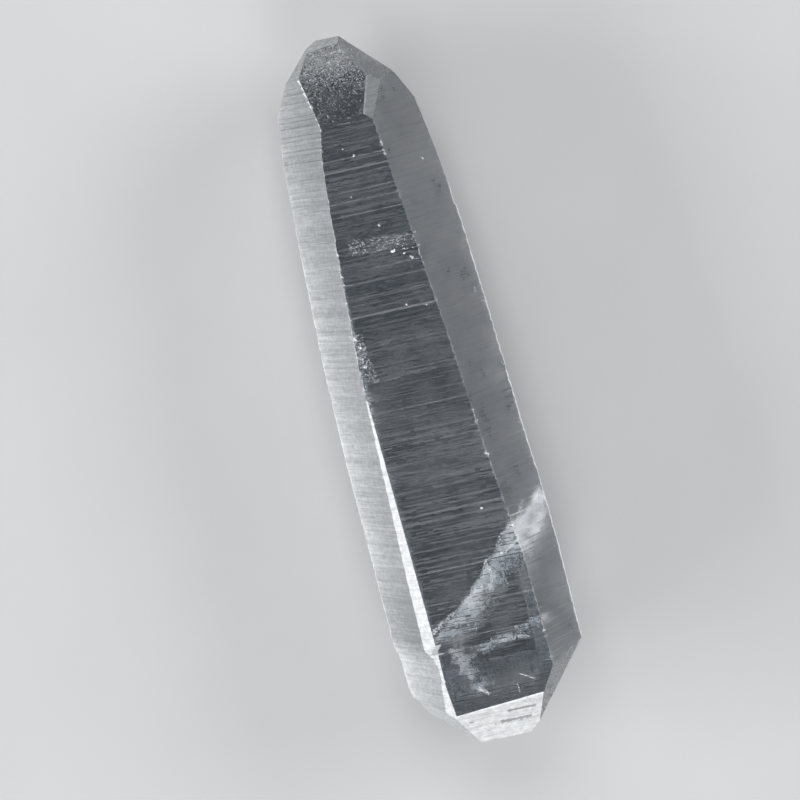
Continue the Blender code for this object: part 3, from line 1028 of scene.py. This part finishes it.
def wisp_sheet(wisps):
    """Sheets through the crystal that carry the flakes: crisp along one edge, fading to the other."""
    bm = bmesh.new()
    dense = bm.verts.layers.float.new("dense")
    fade_steps = (0.0, 0.05, 0.15, 0.35, 0.65, 1.0)
    for edge, way, density in wisps:
        edge = np.array(edge)
        along = np.linspace(0.0, 1.0, 60)
        knots = np.linspace(0.0, 1.0, len(edge))
        line = np.stack([np.interp(along, knots, edge[:, axis]) for axis in range(3)], -1)
        rows = []
        for t, place in zip(along, line):
            wave = 0.25 * math.sin(23 * t) + 0.15 * math.sin(51 * t + 1.0)
            row = []
            for v in fade_steps:
                spot = place + np.array(way) * v + np.array((wave, wave, 0.0)) * (1 - v)
                vert = bm.verts.new(Vector(spot) * MM)
                ends = min(1.0, 10 * t + 0.3, 10 * (1 - t) + 0.3)
                vert[dense] = density * (1 - v) ** 1.6 * ends * max(0.0, min(1.0, 2 * depth_inside(spot) - 1.0))
                row.append(vert)
            rows.append(row)
        for low, high in zip(rows, rows[1:]):
            for i in range(len(fade_steps) - 1):
                bm.faces.new((low[i], high[i], high[i + 1], low[i + 1]))
    return bm


def depth_inside(spot):
    """How deep a spot in the frame of the solid lies under the nearest side face, in millimetres."""
    x, y, z = spot[0] - AXIS_X, spot[1] - AXIS_Y, spot[2] - AXIS_Z
    depths = []
    for azimuth, profile, seed in PRISM_FACES.values():
        turn = math.radians(azimuth)
        depths.append(reach_at(profile, y) - x * math.sin(turn) - z * math.cos(turn))
    return min(depths)


def on_face(name, x, y):
    """Spot on a side face, from its place across and along the axis, where the middle of its grains goes."""
    azimuth, profile = PRISM_FACES[name][:2]
    turn = math.radians(azimuth)
    height = (reach_at(profile, y) + FLECK_LIFT - x * math.sin(turn)) / math.cos(turn)
    return Vector((x, y, height)) * MM


def fleck_patches():
    """Small squares on the window that carry the grains of its flecks."""
    bm = bmesh.new()
    dense = bm.verts.layers.float.new("dense")
    for x, y, radius in WINDOW_FLECKS:
        corners = []
        for across, along in ((-1, -0.7), (1, -0.7), (1, 0.7), (-1, 0.7)):
            vert = bm.verts.new(on_face("window", x + across * radius, y + along * radius))
            vert[dense] = 1.0
            corners.append(vert)
        bm.faces.new(corners)
    bmesh.ops.recalc_face_normals(bm, faces=bm.faces)
    return bm


def stroke_ribbons():
    """Narrow ribbons on the side faces that carry the grains where the crack meets them."""
    bm = bmesh.new()
    dense = bm.verts.layers.float.new("dense")
    for name, places, half, density in CRACK_STROKES:
        rows = []
        for i, (x, y) in enumerate(places):
            before = places[max(i - 1, 0)]
            after = places[min(i + 1, len(places) - 1)]
            way = Vector((after[0] - before[0], after[1] - before[1])).normalized()
            row = []
            for off, share in ((-1, 0.0), (0, 1.0), (1, 0.0)):
                vert = bm.verts.new(on_face(name, x - way.y * half * off, y + way.x * half * off))
                vert[dense] = density * share
                row.append(vert)
            rows.append(row)
        for low, high in zip(rows, rows[1:]):
            for i in range(2):
                bm.faces.new((low[i], high[i], high[i + 1], low[i + 1]))
    bmesh.ops.recalc_face_normals(bm, faces=bm.faces)
    return bm


class QUARTZ_OT_inclusions(bpy.types.Operator):
    """Makes the healed crack as a veil of pale flakes in the crystal, and the white flecks on its window"""

    bl_idname = "quartz.inclusions"
    bl_label = "Healed crack and flecks"

    def execute(self, context):
        sizes = context.scene.quartz_inclusions
        colours = context.scene.quartz_colours
        tree = scatter_tree("grain_scatter")
        # Each piece: name, carrier, grain size, grains a square millimetre, spread, flatness, tumble, patchiness,
        # colour and painted glow
        pieces = (
            ("healed_crack", wisp_sheet(VEIL_WISPS), sizes.flake_size, sizes.flakes_per_mm2, sizes.spread,
             0.25, 1.0, 1.0, colours.flake, VEIL_PAINTED_GLOW),
            ("white_flecks", fleck_patches(), sizes.grain_size, sizes.grains_per_mm2, FLECK_SPREAD * MM,
             0.5, 0.1, 0.0, colours.flake, 0.0),
            ("crack_strokes", stroke_ribbons(), sizes.stroke_grain, sizes.stroke_grains_per_mm2, STROKE_SPREAD * MM,
             0.5, 0.1, 0.7, colours.stroke, 0.0),
        )
        for number, (name, carrier, grain, per_mm2, spread, flat, tumble, patchy, shade, painted_glow) in enumerate(pieces):
            piece = apply_tree(new_piece(name, carrier), tree, {
                "Grain Size": grain, "Grains": per_mm2 / MM ** 2, "Spread": spread, "Flatness": flat,
                "Tumble": tumble, "Patchiness": patchy, "Seed": sizes.seed + number,
                "Material": flake_material(name, shade, painted_glow)})
            if name != "healed_crack":
                to_solid_frame(piece)
            hand_over(piece)
        return {"FINISHED"}


def add_camera():
    """Camera at the photo's view: the crystal's axis leans left at the tip, and the tip nods towards it."""
    azimuth, lift, roll = (math.radians(v) for v in (VIEW_AZIMUTH, VIEW_LIFT, VIEW_ROLL))
    towards = Vector((math.sin(azimuth) * math.cos(lift), math.sin(lift), math.cos(azimuth) * math.cos(lift)))
    plain_up = (Vector((0, 1, 0)) - towards * towards.y).normalized()
    plain_right = plain_up.cross(towards)
    right = plain_right * math.cos(roll) - plain_up * math.sin(roll)
    up = plain_up * math.cos(roll) + plain_right * math.sin(roll)
    aim_right = (AXIS_PIXEL_X - PHOTO_SIZE / 2) / PHOTO_PIXELS_PER_MM
    aim_down = (AXIS_PIXEL_Y - PHOTO_SIZE / 2) / PHOTO_PIXELS_PER_MM
    middle = Vector((AXIS_X, AXIS_Y, AXIS_Z))
    place = middle + towards * VIEW_DISTANCE - right * aim_right + up * aim_down
    data = bpy.data.cameras.new("camera")
    data.sensor_width = SENSOR_MM
    data.lens = PHOTO_PIXELS_PER_MM * VIEW_DISTANCE / PHOTO_SIZE * SENSOR_MM
    data.clip_start = 0.01
    camera = bpy.data.objects.new("camera", data)
    camera.matrix_world = Matrix.Translation(place * MM) @ Matrix((right, up, towards)).transposed().to_4x4()
    bpy.context.scene.collection.objects.link(camera)
    bpy.context.scene.camera = camera


def add_softbox(name, place, aim, size, power):
    data = bpy.data.lights.new(name, "AREA")
    data.shape = "RECTANGLE"
    data.size, data.size_y = size
    data.energy = power
    light = bpy.data.objects.new(name, data)
    way = Vector(aim) - Vector(place)
    light.matrix_world = Matrix.Translation(Vector(place)) @ way.to_track_quat("-Z", "Y").to_matrix().to_4x4()
    bpy.context.scene.collection.objects.link(light)
    return light


def add_floor(colour):
    """Plain floor a hair below the rest face."""
    bm = bmesh.new()
    bmesh.ops.create_grid(bm, x_segments=1, y_segments=1, size=FLOOR_HALF_SIZE)
    for vert in bm.verts:
        vert.co.z = -0.05 * MM
    floor = new_piece("floor", bm)
    material = bpy.data.materials.new("floor_paper")
    material.use_nodes = True
    b = NodeBuilder(material.node_tree)
    shader = material.node_tree.nodes["Principled BSDF"]
    place = b.add("ShaderNodeTexCoord").outputs["Object"]
    tone = b.noise(place, 40.0, 3.0)
    value = b.remap(tone, 0.3, 0.7, 0.97, 1.0)
    mixed = b.vector("MULTIPLY", tuple(colour), b.combine(value, value, value))
    material.node_tree.links.new(mixed, shader.inputs["Base Color"])
    shader.inputs["Roughness"].default_value = 0.85
    floor.data.materials.append(material)
    return floor


class QUARTZ_OT_stage(bpy.types.Operator):
    """Makes the floor, the lights and the camera"""

    bl_idname = "quartz.stage"
    bl_label = "Stage"

    def execute(self, context):
        stage = context.scene.quartz_stage
        add_floor(stage.floor)
        world = bpy.data.worlds.new("studio")
        world.use_nodes = True
        background = world.node_tree.nodes["Background"]
        background.inputs["Color"].default_value = SKY_COLOUR
        background.inputs["Strength"].default_value = stage.sky
        context.scene.world = world
        context.scene.view_settings.view_transform = "Standard"
        for name, place, size, power in SOFTBOXES:
            add_softbox(name, place, SOFTBOX_AIM, size, power)
        add_camera()
        return {"FINISHED"}


class QUARTZ_PT_panel(bpy.types.Panel):
    bl_label = "Quartz crystal"
    bl_space_type = "VIEW_3D"
    bl_region_type = "UI"
    bl_category = "Quartz"

    def draw(self, context):
        layout = self.layout
        for group in SETTINGS:
            settings = getattr(context.scene, group)
            for name in settings.bl_rna.properties.keys():
                if name not in ("rna_type", "name"):
                    layout.prop(settings, name)
        for operator in OPERATORS:
            layout.operator(operator.bl_idname)


SETTINGS = {
    "quartz_sizes": QuartzSizes,
    "quartz_inclusions": InclusionSizes,
    "quartz_colours": QuartzColours,
    "quartz_stage": StageSizes,
}
OPERATORS = (QUARTZ_OT_crystal, QUARTZ_OT_inclusions, QUARTZ_OT_stage)


def register():
    for cls in (*SETTINGS.values(), *OPERATORS, QUARTZ_PT_panel):
        bpy.utils.register_class(cls)
    for name, cls in SETTINGS.items():
        setattr(bpy.types.Scene, name, PointerProperty(type=cls))


def unregister():
    for name in SETTINGS:
        delattr(bpy.types.Scene, name)
    for cls in reversed((*SETTINGS.values(), *OPERATORS, QUARTZ_PT_panel)):
        bpy.utils.unregister_class(cls)


def main():
    register()
    bpy.ops.quartz.crystal()
    bpy.ops.quartz.inclusions()
    bpy.ops.quartz.stage()


if __name__ == "__main__":
    main()
